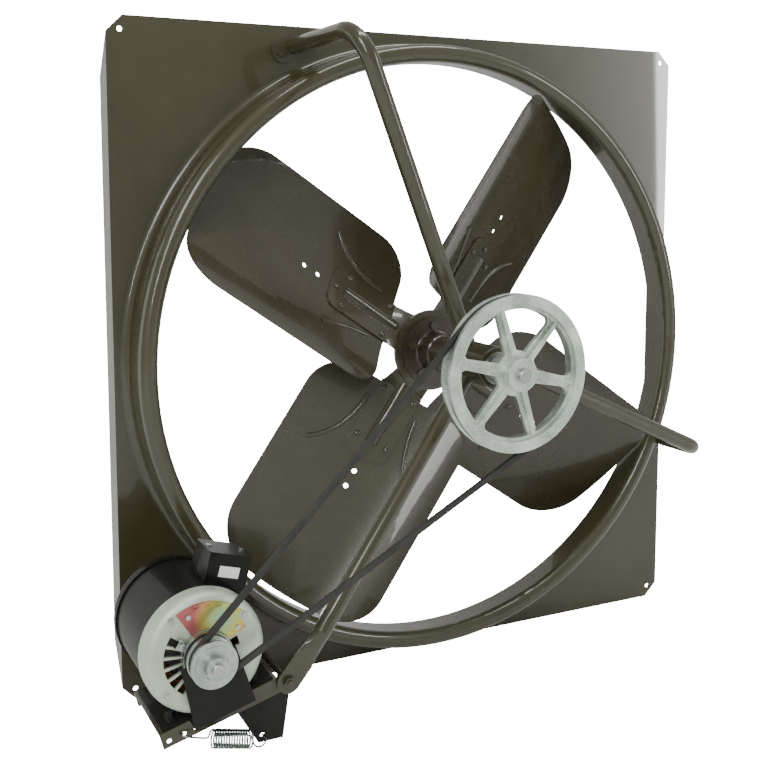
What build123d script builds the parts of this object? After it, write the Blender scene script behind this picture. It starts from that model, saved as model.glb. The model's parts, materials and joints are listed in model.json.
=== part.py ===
"""Belt-driven wall exhaust fan for a hood or a kitchen, 36 inch propeller in a 40 inch panel.

Frame: X to the right, Z up, Y back through the wall. The origin is on the fan's axis, in the
front face of the panel. The drive side, with the sheave, the belt and the motor, faces -Y.
All lengths are in millimetres.
"""
from build123d import *
from math import cos, sin, radians, tan
import os

os.makedirs("parts", exist_ok=True)

# ---- driving dimensions -------------------------------------------------------------------
PANEL = 1016.0             # square panel, 40 inch
SHEET = 2.0                # panel and ring sheet
FLANGE = 45.0              # panel's turned-back edge
CORNER = 24.0              # corner cut
CORNER_HOLE_SPACING = 976.0
CORNER_HOLE_R = 4.0
RING_OUTER_R = 500.0       # where the drawn ring leaves the flat panel
THROAT_R = 459.0           # free bore of the orifice
FAN_TIP_R = 454.0          # 36 inch propeller, less its tip clearance
SHAFT_R = 9.5
TUBE_R = 12.5              # support struts
HOUSING_R = 31.0           # bearing housing, outside
HOUSING_FRONT, HOUSING_BACK = -235.0, -125.0
SHEAVE_R = 114.3           # 9 inch sheave
PULLEY_R = 31.5
BELT_Y = -282.0            # plane of the belt
MOTOR_X, MOTOR_Z = -455.0, -341.0
MOTOR_TILT = 15.3          # the motor base slopes up towards the fan
SHELL_R = 80.0
BASE_DROP = 86.0           # motor axis to the top of the swing plate
SWING_FRONT, SWING_BACK = -238.0, -100.0
HINGE_ALONG, HINGE_DROP = 98.0, 96.3
RUN_GAP = 0.05             # radial clearance of a running shaft
GAP = 0.5                  # clearance between plates that slide past each other


def at(y):
    """Plane square to the fan's axis at depth y; its sketch axes are X and Z."""
    return Plane.XZ.offset(-y)


def polar(radius, angle):
    return radius * cos(radians(angle)), radius * sin(radians(angle))


def motor_at(y):
    """Plane square to the motor's axis, turned with the motor's base."""
    return Plane(origin=(MOTOR_X, y, MOTOR_Z), x_dir=(cos(radians(MOTOR_TILT)), 0, sin(radians(MOTOR_TILT))),
                 z_dir=(0, -1, 0))


MOTOR_HALF = Plane(origin=(MOTOR_X, 0, MOTOR_Z), x_dir=(1, 0, 0), z_dir=(0, 0, 1))
MOTOR_AXIS = Axis((MOTOR_X, 0, MOTOR_Z), (0, 1, 0))
HINGE = motor_at(0).from_local_coords((HINGE_ALONG, -HINGE_DROP, 0))


def save(piece, name):
    piece.part.label = name
    export_step(piece.part, "parts/" + name + ".step")


def disc(plane, outer, length, inner=0.0):
    """A disc or a ring that grows from a plane towards the plane's front."""
    with BuildSketch(plane) as face:
        Circle(outer)
        if inner:
            Circle(inner, mode=Mode.SUBTRACT)
    extrude(face.sketch, amount=length)


def hexagons(plane, spots, radius, length):
    """Bolt heads or nuts."""
    with BuildSketch(plane) as faces:
        with Locations(*spots):
            RegularPolygon(radius, 6)
    extrude(faces.sketch, amount=length)


def pegs(plane, spots, radius, length, mode=Mode.ADD):
    """Round pins, or holes where the mode says so."""
    with BuildSketch(plane) as faces:
        with Locations(*spots):
            Circle(radius)
    extrude(faces.sketch, amount=length, mode=mode)


def sector(inner, outer, start, end):
    """A sketch face between two radii and two angles."""
    middle = (start + end) / 2
    with BuildLine() as edge:
        ThreePointArc(polar(outer, start), polar(outer, middle), polar(outer, end))
        Line(polar(outer, end), polar(inner, end))
        ThreePointArc(polar(inner, end), polar(inner, middle), polar(inner, start))
        Line(polar(inner, start), polar(outer, start))
    make_face(edge.edges())


# ---- panel --------------------------------------------------------------------------------
TOP_ANGLE, RIGHT_ANGLE = 115.1, -22.0
TOP_FOOT = polar(528.0, TOP_ANGLE)
RIGHT_FOOT = polar(513.0, RIGHT_ANGLE)
FOOT_BOLT_OFFSET = 25.0
FOOT_BOLT_R = 4.0


def foot_bolts(foot, angle):
    """Centres of the two bolts of a strut's foot, one each side of the tube."""
    side_x, side_z = polar(FOOT_BOLT_OFFSET, angle + 90)
    return [(foot[0] + side_x, foot[1] + side_z), (foot[0] - side_x, foot[1] - side_z)]


FOOT_BOLTS = foot_bolts(TOP_FOOT, TOP_ANGLE) + foot_bolts(RIGHT_FOOT, RIGHT_ANGLE)
BRACKET_X = HINGE.X - 10.0             # web of the hinge bracket
BRACKET_FOOT = (BRACKET_X - 16.0, HINGE.Z - 43.0)
BRACKET_BOLTS = [(BRACKET_FOOT[0], BRACKET_FOOT[1] + 17.0), (BRACKET_FOOT[0], BRACKET_FOOT[1] - 21.0)]

with BuildPart() as wall_panel:
    with BuildSketch(at(0)):
        Rectangle(PANEL, PANEL)
    extrude(amount=-SHEET)
    chamfer(wall_panel.edges().filter_by(Axis.Y), CORNER)
    with BuildSketch(at(0)):
        Circle(RING_OUTER_R)
        with GridLocations(CORNER_HOLE_SPACING, CORNER_HOLE_SPACING, 2, 2):
            Circle(CORNER_HOLE_R)
        with Locations(*(FOOT_BOLTS + BRACKET_BOLTS)):
            Circle(FOOT_BOLT_R)
    extrude(amount=-SHEET, mode=Mode.SUBTRACT)
    for side in range(4):
        out_x, out_z = polar(1.0, 90 * side)
        edge_plane = Plane(origin=(out_x * PANEL / 2, 0, out_z * PANEL / 2), x_dir=(0, 1, 0),
                           z_dir=(-out_x, 0, -out_z))
        half = PANEL / 2 - CORNER
        with BuildSketch(edge_plane):
            with BuildLine():
                Polyline((0, -half), (0, half), (FLANGE, half - 60), (FLANGE, 60 - half), close=True)
            make_face()
        extrude(amount=SHEET)
save(wall_panel, "wall_panel")

# ---- orifice ring: drawn forward, rolled over its crown, and back into the throat -----------
CROWN_R = 14.0
CROWN_Y = -57.0
CROWN_CENTRE = THROAT_R + CROWN_R
WALL_R = CROWN_CENTRE + CROWN_R
ROOT_R = RING_OUTER_R - WALL_R
LIP_BACK = -21.0

with BuildPart() as venturi_ring:
    with BuildSketch(Plane.XY):
        with BuildLine():
            soft = ROOT_R * (1 - cos(radians(45)))
            back_root = ROOT_R + SHEET
            back_soft = back_root * (1 - cos(radians(45)))
            ThreePointArc((RING_OUTER_R, 0), (RING_OUTER_R - ROOT_R + soft, -soft), (WALL_R, -ROOT_R))
            Line((WALL_R, -ROOT_R), (WALL_R, CROWN_Y))
            ThreePointArc((WALL_R, CROWN_Y), (CROWN_CENTRE, CROWN_Y - CROWN_R), (THROAT_R, CROWN_Y))
            Line((THROAT_R, CROWN_Y), (THROAT_R, LIP_BACK))
            Line((THROAT_R, LIP_BACK), (THROAT_R + SHEET, LIP_BACK))
            Line((THROAT_R + SHEET, LIP_BACK), (THROAT_R + SHEET, CROWN_Y))
            ThreePointArc((THROAT_R + SHEET, CROWN_Y), (CROWN_CENTRE, CROWN_Y - CROWN_R + SHEET),
                          (WALL_R - SHEET, CROWN_Y))
            Line((WALL_R - SHEET, CROWN_Y), (WALL_R - SHEET, -ROOT_R))
            ThreePointArc((WALL_R - SHEET, -ROOT_R), (WALL_R - SHEET + back_soft, SHEET - back_soft),
                          (RING_OUTER_R, SHEET))
            Line((RING_OUTER_R, SHEET), (RING_OUTER_R, 0))
        make_face()
    revolve(axis=Axis.Y)
save(venturi_ring, "venturi_ring")

# ---- bearing housing and bearings -----------------------------------------------------------
BEARING_R, BEARING_WIDTH = 24.0, 14.0
RACE_R = 14.5
BEARING_BACKS = [HOUSING_FRONT + BEARING_WIDTH + 1, HOUSING_BACK - 1]

with BuildPart() as bearing_housing:
    disc(at(HOUSING_BACK), HOUSING_R, HOUSING_BACK - HOUSING_FRONT, SHAFT_R + 7)
    chamfer(bearing_housing.edges().filter_by(lambda e: e.length > 180), 1.5)
    for depth in (HOUSING_FRONT + BEARING_WIDTH + 1, HOUSING_BACK):
        with BuildSketch(at(depth)):
            Circle(BEARING_R)
        extrude(amount=BEARING_WIDTH + 1, mode=Mode.SUBTRACT)
save(bearing_housing, "bearing_housing")

with BuildPart() as bearing_outer_rings:
    for depth in BEARING_BACKS:
        disc(at(depth), BEARING_R, BEARING_WIDTH, RACE_R + RUN_GAP)
save(bearing_outer_rings, "bearing_outer_rings")

with BuildPart() as bearing_inner_rings:
    for depth in BEARING_BACKS:
        disc(at(depth), RACE_R, BEARING_WIDTH, SHAFT_R)
save(bearing_inner_rings, "bearing_inner_rings")

# ---- struts -----------------------------------------------------------------------------------
FOOT_THICK = 5.0
TUBE_WALL = 1.8


def trim_to_housing():
    pegs(at(HOUSING_BACK + 40), [(0, 0)], HOUSING_R, 180, Mode.SUBTRACT)


def foot_plate(foot, angle, half_long, half_wide):
    plate = Plane(origin=(foot[0], 0, foot[1]), x_dir=(-sin(radians(angle)), 0, cos(radians(angle))),
                  z_dir=(0, -1, 0))
    with BuildSketch(plate) as face:
        RectangleRounded(2 * half_long, 2 * half_wide, 9)
        with Locations((FOOT_BOLT_OFFSET, 0), (-FOOT_BOLT_OFFSET, 0)):
            Circle(FOOT_BOLT_R, mode=Mode.SUBTRACT)
    extrude(face.sketch, amount=FOOT_THICK)


def bent_strut(foot, angle, bend_y, inner, bend_radius, half_long, half_wide):
    """A tube that stands square off the panel, bends over the ring and runs to the housing."""
    with BuildPart() as strut:
        with BuildLine() as run:
            FilletPolyline((foot[0], -1.0, foot[1]), (foot[0], bend_y, foot[1]), inner, radius=bend_radius)
        with BuildSketch(Plane(origin=run.line @ 0, z_dir=run.line % 0)):
            Circle(TUBE_R)
            Circle(TUBE_R - TUBE_WALL, mode=Mode.SUBTRACT)
        sweep()
        foot_plate(foot, angle, half_long, half_wide)
        trim_to_housing()
    return strut


top_x, top_z = polar(12.0, TOP_ANGLE)
strut_top = bent_strut(TOP_FOOT, TOP_ANGLE, -238.0, (top_x, -168.0, top_z), 45.0, 36.0, 15.0)
save(strut_top, "strut_top")

strut_right = bent_strut(RIGHT_FOOT, RIGHT_ANGLE, -146.0, (12.0, -181.0, 14.0), 42.0, 36.0, 12.5)
save(strut_right, "strut_right")

TAB_THICK = 5.5
TAB_FRONT = SWING_FRONT - GAP - TAB_THICK
HINGE_BOLT_R = 5.0
TAB_HALF = 17.0
strut_dir = Vector(-HINGE.X, 0, -HINGE.Z).normalized()
tube_start = Vector(HINGE.X, TAB_FRONT + TAB_THICK / 2, HINGE.Z) + strut_dir * 78
tab_end = Vector(HINGE.X, TAB_FRONT + TAB_THICK / 2, HINGE.Z) + strut_dir * 34
lower_x, lower_z = polar(12.0, 231.0)
strut_inner = Vector(lower_x, -172.0, lower_z)
tube_axis = (strut_inner - tube_start).normalized()
tab_side = Vector(0, 1, 0).cross(strut_dir)

with BuildPart() as strut_lower_left:
    with BuildSketch(Plane(origin=tube_start, x_dir=tab_side, z_dir=tube_axis)):
        Circle(TUBE_R)
    extrude(amount=(strut_inner - tube_start).length)
    with BuildSketch(Plane(origin=tab_end, x_dir=tab_side, z_dir=strut_dir)):
        RectangleRounded(2 * TAB_HALF, TAB_THICK, 2.5)
    with BuildSketch(Plane(origin=tube_start, x_dir=tab_side, z_dir=tube_axis)):
        Circle(TUBE_R)
    loft()
    with BuildSketch(Plane(origin=(HINGE.X, TAB_FRONT + TAB_THICK, HINGE.Z), x_dir=strut_dir,
                           z_dir=(0, -1, 0))):
        Circle(TAB_HALF)
        with Locations((17.0, 0)):
            Rectangle(34.0, 2 * TAB_HALF)
    extrude(amount=TAB_THICK)
    with BuildSketch(Plane(origin=(HINGE.X, TAB_FRONT + 30, HINGE.Z), x_dir=strut_dir, z_dir=(0, -1, 0))):
        Circle(HINGE_BOLT_R)
    extrude(amount=60, mode=Mode.SUBTRACT)
    trim_to_housing()
save(strut_lower_left, "strut_lower_left")

with BuildPart() as strut_bolts:
    hexagons(at(-FOOT_THICK), FOOT_BOLTS, 7.0, 5.0)
    pegs(at(SHEET + 8), FOOT_BOLTS, FOOT_BOLT_R, SHEET + 8 + FOOT_THICK)
    hexagons(at(SHEET + 6), FOOT_BOLTS, 7.0, 6.0)
save(strut_bolts, "strut_bolts")

# ---- propeller --------------------------------------------------------------------------------
FIRST_BLADE = 55.5         # angle of the first blade from +X towards +Z
PITCH = 32.5
CHORD_Y = -27.0            # where the blades' chord plane crosses the axis
BLADE_MID = -6.5           # chordwise middle of a blade
BLADE_TRAIL, BLADE_LEAD = -148.0, 134.0
BLADE_ROOT = 82.0
BLADE_THICK = 2.5
TRAIL_TIP, LEAD_TIP = 436.5, 440.0
CAMBER = [(-148.0, 0.0), (-85.0, -6.8), (-33.5, -11.4), (-6.5, -13.5), (20.5, -15.4), (60.0, -16.5),
          (100.0, -11.0), (134.0, 0.0)]
BLADE_CORNERS = [((BLADE_ROOT, BLADE_TRAIL), 62), ((BLADE_ROOT, BLADE_LEAD), 58),
                 ((TRAIL_TIP, BLADE_TRAIL), 85), ((LEAD_TIP, BLADE_LEAD), 68)]
BLADE_HOLES = [231.0, 258.0]
ARM_THICK = 2.8
ARM_HALF = 37.0
ARM_START, ARM_END = 78.0, 206.0
RIVETS = [(90.0, -27.0), (90.0, 27.0), (176.0, -27.0), (176.0, 27.0), (196.0, 0.0)]
RIVET_R, RIVET_HEAD_R = 3.0, 5.0
BLADES = [FIRST_BLADE + 90.0 * index for index in range(4)]
BEAD_R = 4.0               # stiffening beads pressed into each blade, one each side of the arm
LEAD_BEAD = [(112.0, 38.0), (140.0, 43.0), (170.0, 52.0), (200.0, 65.0)]
TRAIL_BEAD = [(112.0, -50.5), (140.0, -53.0), (172.0, -62.0), (200.0, -79.0), (220.0, -101.0)]


def blade_axes(angle):
    """Directions along a blade, across its chord, and out of its face towards the drive side."""
    along = Vector(cos(radians(angle)), 0, sin(radians(angle)))
    around = Vector(-sin(radians(angle)), 0, cos(radians(angle)))
    chord = around * cos(radians(PITCH)) + Vector(0, -sin(radians(PITCH)), 0)
    return along, chord, along.cross(chord)


def section_plane(angle, radius):
    """Square to the blade; sketch x is chordwise, sketch y is towards the drive side."""
    along, chord, _ = blade_axes(angle)
    return Plane(origin=Vector(0, CHORD_Y, 0) + along * radius, x_dir=chord, z_dir=along)


def outline_plane(angle, offset=0.0):
    """The chord plane; sketch x runs out along the blade, sketch y is chordwise."""
    along, _, normal = blade_axes(angle)
    return Plane(origin=Vector(0, CHORD_Y, 0) + normal * offset, x_dir=along, z_dir=normal)


def skin(low, high):
    """A curved strip between two offsets of the camber line."""
    (first, first_height), (last, last_height) = CAMBER[0], CAMBER[-1]
    with BuildLine() as edge:
        Spline(*[(v, height + low) for v, height in CAMBER])
        Line((last, last_height + low), (last, last_height + high))
        Spline(*[(v, height + high) for v, height in CAMBER])
        Line((first, first_height + low), (first, first_height + high))
    make_face(edge.edges())


def rivet_holes(angle):
    pegs(outline_plane(angle, -60), [(u, BLADE_MID + v) for u, v in RIVETS], RIVET_R, 120, Mode.SUBTRACT)


def camber_height(v):
    """Height of the camber line between its listed points."""
    for (low_v, low_height), (high_v, high_height) in zip(CAMBER, CAMBER[1:]):
        if low_v <= v <= high_v:
            return low_height + (high_height - low_height) * (v - low_v) / (high_v - low_v)
    return 0.0


def bead(angle, spots):
    """A round ridge that follows the blade's face."""
    plane = outline_plane(angle)
    path = [plane.from_local_coords((u, v, camber_height(v))) for u, v in spots]
    with BuildPart() as ridge:
        with BuildLine() as run:
            Spline(*path)
        with BuildSketch(Plane(origin=run.line @ 0, z_dir=run.line % 0)):
            Circle(BEAD_R)
        sweep()
    return ridge


def blade(angle):
    beads = [bead(angle, LEAD_BEAD), bead(angle, TRAIL_BEAD)]
    with BuildPart() as body:
        with BuildSketch(section_plane(angle, BLADE_ROOT - 5)):
            skin(-BLADE_THICK / 2, BLADE_THICK / 2)
        extrude(amount=FAN_TIP_R - BLADE_ROOT + 15)
        with BuildSketch(outline_plane(angle, -60)) as outline:
            with BuildLine():
                Polyline((LEAD_TIP, BLADE_LEAD), (BLADE_ROOT, BLADE_LEAD), (BLADE_ROOT, BLADE_TRAIL),
                         (TRAIL_TIP, BLADE_TRAIL))
                ThreePointArc((TRAIL_TIP, BLADE_TRAIL), (FAN_TIP_R, BLADE_MID), (LEAD_TIP, BLADE_LEAD))
            make_face()
            for corner, radius in BLADE_CORNERS:
                fillet(outline.vertices().sort_by_distance(corner)[0], radius)
        extrude(amount=120, mode=Mode.INTERSECT)
        rivet_holes(angle)
        pegs(outline_plane(angle, -60), [(u, BLADE_MID) for u in BLADE_HOLES], 4.0, 120, Mode.SUBTRACT)
        for ridge in beads:
            add(ridge.part)
    return body


for index, angle in enumerate(BLADES):
    save(blade(angle), "blade_" + str(index + 1))

HUB_R, HUB_FLANGE_R = 30.0, 55.0
HUB_FRONT, HUB_BACK = -75.0, 12.0
SPIDER_FRONT, SPIDER_BACK = -34.0, -28.0
FLANGE_FRONT = SPIDER_FRONT - 8.0
SPIDER_R = 66.0
HUB_BOLTS = [polar(42.0, 19.5 + 72 * index) for index in range(5)]
HUB_BOLT_R = 4.0
RIB_HALF, RIB_HIGH, RIB_END = 11.0, 7.0, 178.0
arm_low, arm_high = BLADE_THICK / 2, BLADE_THICK / 2 + ARM_THICK
arm_trail_height, arm_lead_height = -10.9, -16.2


def spider_arm(angle):
    """A pressed arm that lies on the blade's face, with a round rib down its middle."""
    with BuildPart() as arm:
        with BuildSketch(section_plane(angle, ARM_START)):
            skin(arm_low, arm_high)
        extrude(amount=ARM_END - ARM_START)
        with BuildSketch(outline_plane(angle, -60)):
            with Locations(((ARM_START + ARM_END) / 2, BLADE_MID)):
                RectangleRounded(ARM_END - ARM_START, 2 * ARM_HALF, 20)
            with Locations((ARM_START + 10, BLADE_MID)):
                Rectangle(20, 2 * ARM_HALF)
        extrude(amount=120, mode=Mode.INTERSECT)
        with BuildSketch(section_plane(angle, ARM_START - 20)):
            with BuildLine():
                foot = -13.5 + arm_low + 1.5
                ThreePointArc((BLADE_MID - RIB_HALF, foot), (BLADE_MID, -13.5 + arm_high + RIB_HIGH),
                              (BLADE_MID + RIB_HALF, foot))
                Line((BLADE_MID - RIB_HALF, foot), (BLADE_MID + RIB_HALF, foot))
            make_face()
        extrude(amount=RIB_END - ARM_START + 20)
        rivet_holes(angle)
    return arm


def arm_root(angle):
    """The twist between the flat disc and the pitched arm."""
    along = blade_axes(angle)[0]
    around = Vector(-sin(radians(angle)), 0, cos(radians(angle)))
    trail, lead = BLADE_MID - ARM_HALF, BLADE_MID + ARM_HALF
    with BuildPart() as root:
        with BuildSketch(section_plane(angle, BLADE_ROOT - 0.5)):
            with BuildLine():
                Polyline((trail + 1, arm_trail_height + arm_low + 0.6),
                         (lead - 1, arm_lead_height + arm_low + 0.6),
                         (lead - 1, arm_lead_height + arm_high - 0.6),
                         (trail + 1, arm_trail_height + arm_high - 0.6), close=True)
            make_face()
        with BuildSketch(Plane(origin=along * 48 + Vector(0, SPIDER_BACK - 0.5, 0), x_dir=around,
                               z_dir=along)):
            with BuildLine():
                Polyline((-33, 0), (33, 0), (33, 5), (-33, 5), close=True)
            make_face()
        loft()
    return root


spider_arms = [spider_arm(angle) for angle in BLADES]
with BuildPart() as propeller_spider:
    disc(at(SPIDER_BACK), SPIDER_R, SPIDER_BACK - SPIDER_FRONT)
    for angle in BLADES:
        add(arm_root(angle).part)
    for arm in spider_arms:
        add(arm.part)
    pegs(at(SPIDER_BACK + 30), [(0, 0)], HUB_R, 60, Mode.SUBTRACT)
    pegs(at(SPIDER_FRONT), [(0, 0)], HUB_FLANGE_R + 1, 20, Mode.SUBTRACT)
    pegs(at(SPIDER_BACK + 5), HUB_BOLTS, HUB_BOLT_R, 20, Mode.SUBTRACT)
save(propeller_spider, "propeller_spider")

with BuildPart() as propeller_hub:
    disc(at(HUB_BACK), HUB_R, HUB_BACK - HUB_FRONT, SHAFT_R)
    disc(at(SPIDER_FRONT), HUB_FLANGE_R, SPIDER_FRONT - FLANGE_FRONT, HUB_R - 1)
    fillet(propeller_hub.edges().filter_by(lambda e: abs(e.length - 6.2832 * HUB_R) < 1)
           .filter_by_position(Axis.Y, FLANGE_FRONT - 0.1, FLANGE_FRONT + 0.1), 5)
    pegs(at(SPIDER_FRONT + 1), HUB_BOLTS, HUB_BOLT_R, 20, Mode.SUBTRACT)
    chamfer(propeller_hub.faces().sort_by(Axis.Y)[0].outer_wire().edges(), 2)
save(propeller_hub, "propeller_hub")

with BuildPart() as hub_bolts:
    hexagons(at(FLANGE_FRONT), HUB_BOLTS, 7.5, 5.0)
    pegs(at(SPIDER_BACK + 8), HUB_BOLTS, HUB_BOLT_R, SPIDER_BACK + 8 - FLANGE_FRONT)
    hexagons(at(SPIDER_BACK + 5), HUB_BOLTS, 7.5, 5.0)
save(hub_bolts, "hub_bolts")

RIVET_HEIGHTS = {-27.0: -11.4, 0.0: -13.5, 27.0: -15.4}
with BuildPart() as blade_rivets:
    for angle in BLADES:
        for u, v in RIVETS:
            spot = [(u, BLADE_MID + v)]
            front = RIVET_HEIGHTS[v] + arm_high + 0.45
            back = RIVET_HEIGHTS[v] - BLADE_THICK / 2 - 0.45
            pegs(outline_plane(angle, back - 2.5), spot, RIVET_HEAD_R, 2.5)
            pegs(outline_plane(angle, back), spot, RIVET_R, front - back)
            pegs(outline_plane(angle, front), spot, RIVET_HEAD_R, 2.5)
save(blade_rivets, "blade_rivets")

# ---- fan shaft and sheave -----------------------------------------------------------------------
SHAFT_FRONT, SHAFT_BACK = -311.0, 22.0
GROOVE_HALF, GROOVE_DEEP = 6.4, 11.0
GROOVE_FLANK = tan(radians(19))
RIM_HALF = 12.5
RIM_INNER_R = 98.0
RIM_LEDGE_R, RIM_LEDGE_HALF = 93.0, 7.5
WEB_HALF = 3.5
WINDOW_INNER_R = 33.0
SHEAVE_HUB_R = 24.0
SHEAVE_HUB_FRONT, SHEAVE_HUB_BACK = -303.0, -250.0
SPOKES = [47.5 + 60.0 * index for index in range(6)]
FAN_AXIS = Axis.Y

with BuildPart() as fan_shaft:
    disc(at(SHAFT_BACK), SHAFT_R, SHAFT_BACK - SHAFT_FRONT)
    chamfer(fan_shaft.edges(), 1.0)
save(fan_shaft, "fan_shaft")

with BuildPart() as shaft_collars:
    disc(at(HOUSING_FRONT - 1), 16.0, 11.0, SHAFT_R)
    disc(at(HOUSING_BACK + 12), 16.0, 11.0, SHAFT_R)
    chamfer(shaft_collars.edges().filter_by(lambda e: e.length > 95), 0.8)
save(shaft_collars, "shaft_collars")


def window_outline(angle):
    """The opening between two spokes; the spokes narrow towards the rim."""
    near_rim, near_hub, middle = 4.6, 17.0, angle + 30
    with BuildLine() as edge:
        ThreePointArc(polar(RIM_LEDGE_R, angle + near_rim), polar(RIM_LEDGE_R, middle),
                      polar(RIM_LEDGE_R, angle + 60 - near_rim))
        Line(polar(RIM_LEDGE_R, angle + 60 - near_rim), polar(WINDOW_INNER_R, angle + 60 - near_hub))
        ThreePointArc(polar(WINDOW_INNER_R, angle + 60 - near_hub), polar(WINDOW_INNER_R, middle),
                      polar(WINDOW_INNER_R, angle + near_hub))
        Line(polar(WINDOW_INNER_R, angle + near_hub), polar(RIM_LEDGE_R, angle + near_rim))
    make_face(edge.edges())


def grooved_rim(outer, inner, half_width, middle):
    """Half of the section of a V-belt rim, as radius and depth."""
    floor_half = GROOVE_HALF - GROOVE_DEEP * GROOVE_FLANK
    with BuildLine() as edge:
        Polyline((inner, middle - half_width), (outer, middle - half_width), (outer, middle - GROOVE_HALF),
                 (outer - GROOVE_DEEP, middle - floor_half), (outer - GROOVE_DEEP, middle + floor_half),
                 (outer, middle + GROOVE_HALF), (outer, middle + half_width), (inner, middle + half_width),
                 close=True)
    make_face(edge.edges())


with BuildPart() as fan_sheave:
    with BuildSketch(Plane.XY):
        grooved_rim(SHEAVE_R, RIM_INNER_R, RIM_HALF, BELT_Y)
    revolve(axis=FAN_AXIS)
    disc(at(SHEAVE_HUB_BACK), SHEAVE_HUB_R, SHEAVE_HUB_BACK - SHEAVE_HUB_FRONT)
    disc(at(BELT_Y + WEB_HALF), RIM_LEDGE_R + 1, 2 * WEB_HALF, SHAFT_R)
    disc(at(BELT_Y + RIM_LEDGE_HALF), RIM_INNER_R + 1, 2 * RIM_LEDGE_HALF, RIM_LEDGE_R)
    for angle in SPOKES:
        with BuildSketch(at(BELT_Y + 20)) as window:
            window_outline(angle)
            fillet(window.vertices().group_by(lambda v: round((v.X ** 2 + v.Z ** 2) ** 0.5))[-1], 9)
            fillet(window.vertices().group_by(lambda v: round((v.X ** 2 + v.Z ** 2) ** 0.5))[0], 4)
        extrude(amount=40, mode=Mode.SUBTRACT)
    for angle in SPOKES:
        with BuildSketch(Plane(origin=(0, BELT_Y + 9, 0), z_dir=(0, -1, 0),
                               x_dir=(cos(radians(angle)), 0, sin(radians(angle))))):
            with Locations((55, 0)):
                Rectangle(86, 4.5)
        extrude(amount=17.0)
    pegs(at(SHEAVE_HUB_BACK + 10), [(0, 0)], SHAFT_R, 80, Mode.SUBTRACT)
    set_screw_plane = Plane(origin=(0, SHEAVE_HUB_BACK - 8, SHAFT_R), x_dir=(1, 0, 0), z_dir=(0, 0, 1))
    pegs(set_screw_plane, [(0, 0)], 3.0, 30, Mode.SUBTRACT)
save(fan_sheave, "fan_sheave")

with BuildPart() as sheave_set_screw:
    pegs(set_screw_plane, [(0, 0)], 3.0, SHEAVE_HUB_R - SHAFT_R + 3)
save(sheave_set_screw, "sheave_set_screw")

# ---- V-belt, light section ----------------------------------------------------------------------------
BELT_TOP, BELT_BOTTOM, BELT_DEEP, BELT_SINK = 5.4, 3.15, 6.5, 1.5
sheave_pitch_r = SHEAVE_R - BELT_SINK - BELT_DEEP / 2
pulley_pitch_r = PULLEY_R - BELT_SINK - BELT_DEEP / 2
motor_distance = (MOTOR_X ** 2 + MOTOR_Z ** 2) ** 0.5
lean = (sheave_pitch_r - pulley_pitch_r) / motor_distance
towards_motor = Vector(MOTOR_X, 0, MOTOR_Z).normalized()
across_belt = Vector(-towards_motor.Z, 0, towards_motor.X)
upper = towards_motor * lean + across_belt * (1 - lean ** 2) ** 0.5
lower = towards_motor * lean - across_belt * (1 - lean ** 2) ** 0.5
fan_centre = Vector(0, BELT_Y, 0)
motor_centre = Vector(MOTOR_X, BELT_Y, MOTOR_Z)
belt_start = fan_centre + upper * sheave_pitch_r
belt_turn = motor_centre + upper * pulley_pitch_r

with BuildPart() as v_belt:
    with BuildLine():
        Line(belt_start, belt_turn)
        ThreePointArc(belt_turn, motor_centre + towards_motor * pulley_pitch_r,
                      motor_centre + lower * pulley_pitch_r)
        Line(motor_centre + lower * pulley_pitch_r, fan_centre + lower * sheave_pitch_r)
        ThreePointArc(fan_centre + lower * sheave_pitch_r, fan_centre - towards_motor * sheave_pitch_r,
                      belt_start)
    with BuildSketch(Plane(origin=belt_start, x_dir=upper, z_dir=(belt_turn - belt_start).normalized())):
        with BuildLine():
            Polyline((BELT_DEEP / 2, -BELT_TOP), (BELT_DEEP / 2, BELT_TOP), (-BELT_DEEP / 2, BELT_BOTTOM),
                     (-BELT_DEEP / 2, -BELT_BOTTOM), close=True)
        make_face()
    sweep()
save(v_belt, "v_belt")

# ---- motor ------------------------------------------------------------------------------------------
SHELL_WALL = 2.5
SEAM_ANGLE = 198.0         # slot that shows the stator's edge
SHELL_FRONT, SHELL_BACK = -238.0, -92.0
BELL_R = 82.5
BELL_FACE, REAR_FACE = -257.0, -76.0
BOSS_R = 24.5
BORE_R = 17.5
MOTOR_SHAFT_R = 7.95
CORE_FRONT, CORE_BACK = -215.0, -122.0
CORE_BORE = 45.0
THROUGH_BOLTS = [polar(70.0, 25 + 90 * index) for index in range(4)]
THROUGH_BOLT_R = 2.5
CRADLE_FRONT, CRADLE_BACK = -266.0, -67.0
CRADLE_THICK = 3.0
RUBBER_R = 32.0
RUBBER_WIDE = 9.0
MOTOR_SHAFT_FRONT, MOTOR_SHAFT_BACK = -312.0, -62.0

seam_x, seam_z = polar(1, SEAM_ANGLE + MOTOR_TILT)
seam_out = Vector(seam_x, 0, seam_z)

with BuildPart() as motor_shell:
    disc(motor_at(SHELL_BACK), SHELL_R, SHELL_BACK - SHELL_FRONT, SHELL_R - SHELL_WALL)
    with BuildSketch(Plane(origin=motor_at(0).from_local_coords((*polar(SHELL_R - 8, SEAM_ANGLE), 0)),
                           x_dir=(0, 1, 0), z_dir=seam_out)):
        with Locations((-120, 0)):
            Rectangle(60, 8)
    extrude(amount=20, mode=Mode.SUBTRACT)
save(motor_shell, "motor_shell")

with BuildPart() as stator_core:
    disc(motor_at(CORE_BACK), SHELL_R - SHELL_WALL, CORE_BACK - CORE_FRONT, CORE_BORE)
    pegs(motor_at(CORE_BACK + 5), THROUGH_BOLTS, THROUGH_BOLT_R, 120, Mode.SUBTRACT)
save(stator_core, "stator_core")

with BuildPart() as stator_windings:
    for back in (CORE_FRONT, CORE_BACK + 18):
        disc(motor_at(back), 65.0, 18.0, 48.0)
    fillet(stator_windings.edges().filter_by(lambda e: e.length > 100)
           .group_by(Axis.Y)[0], 5)
save(stator_windings, "stator_windings")

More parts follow.
